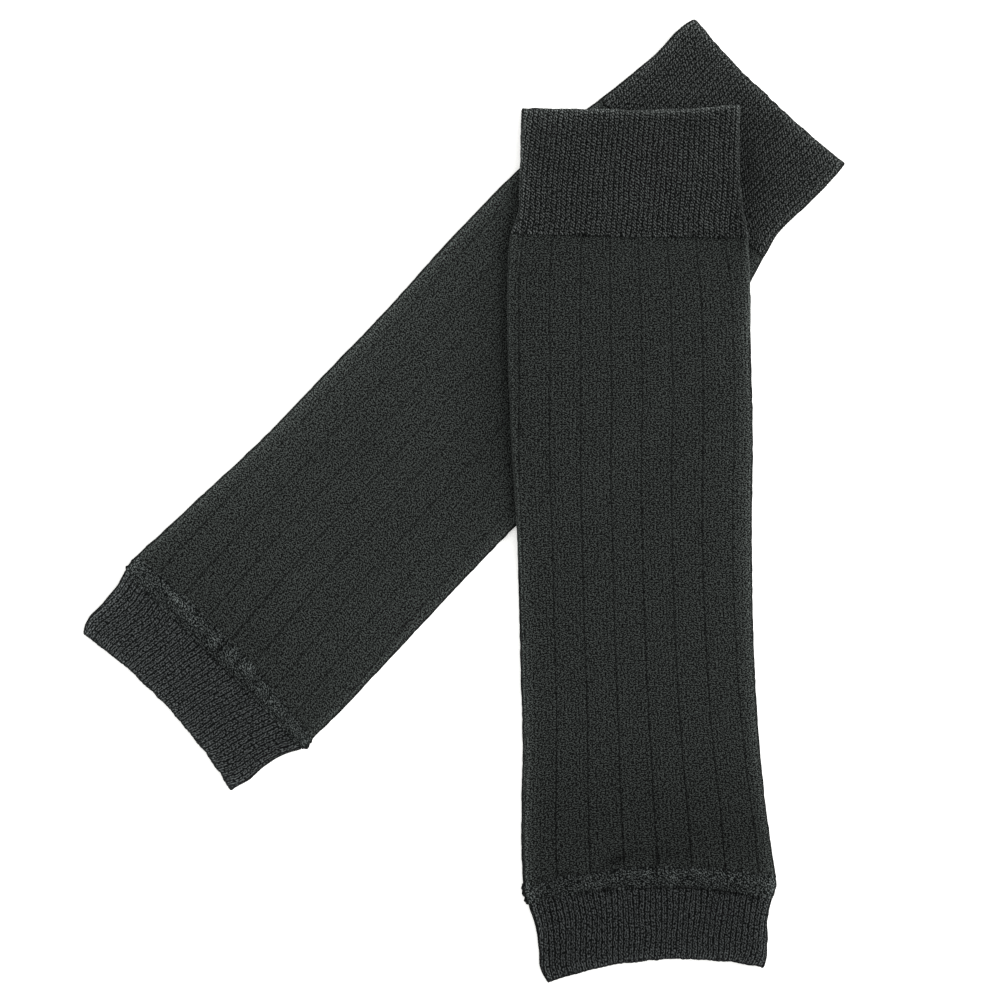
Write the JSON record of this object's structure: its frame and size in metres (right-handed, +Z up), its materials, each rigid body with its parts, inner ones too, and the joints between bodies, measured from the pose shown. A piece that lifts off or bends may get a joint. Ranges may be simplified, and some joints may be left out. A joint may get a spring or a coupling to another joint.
{
  "type": "pair of leg warmers",
  "caption": "Knitted ribbed leg warmers lying flat, one across the other: open flattened tubes with a turned rib top cuff, a raised ankle seam and a rib ankle cuff that pulls in.",
  "frame": {"origin": "on the surface that the pair lies on, at the middle of the pair's bounding box", "axes": "+Z up off the surface, +Y roughly along the front leg warmer from its hem to its top, +X to the right seen from above"},
  "size_m": [0.3274, 0.4145, 0.0088],
  "materials": {
    "turned_welt_rib": "matt charcoal 1x1 rib knit, double",
    "leg_rib": "matt charcoal fine knit, eight raised wales and one sunk",
    "linked_seam": "matt charcoal seam roll of looped yarn",
    "ankle_rib": "matt charcoal 1x1 rib knit"
  },
  "bodies": {
    "root": {"front_top_cuff": "turned_welt_rib", "front_leg": "leg_rib", "front_ankle_seam": "linked_seam", "front_ankle_cuff": "ankle_rib", "back_top_cuff": "turned_welt_rib", "back_leg": "leg_rib", "back_ankle_seam": "linked_seam", "back_ankle_cuff": "ankle_rib"}
  },
  "joints": []
}
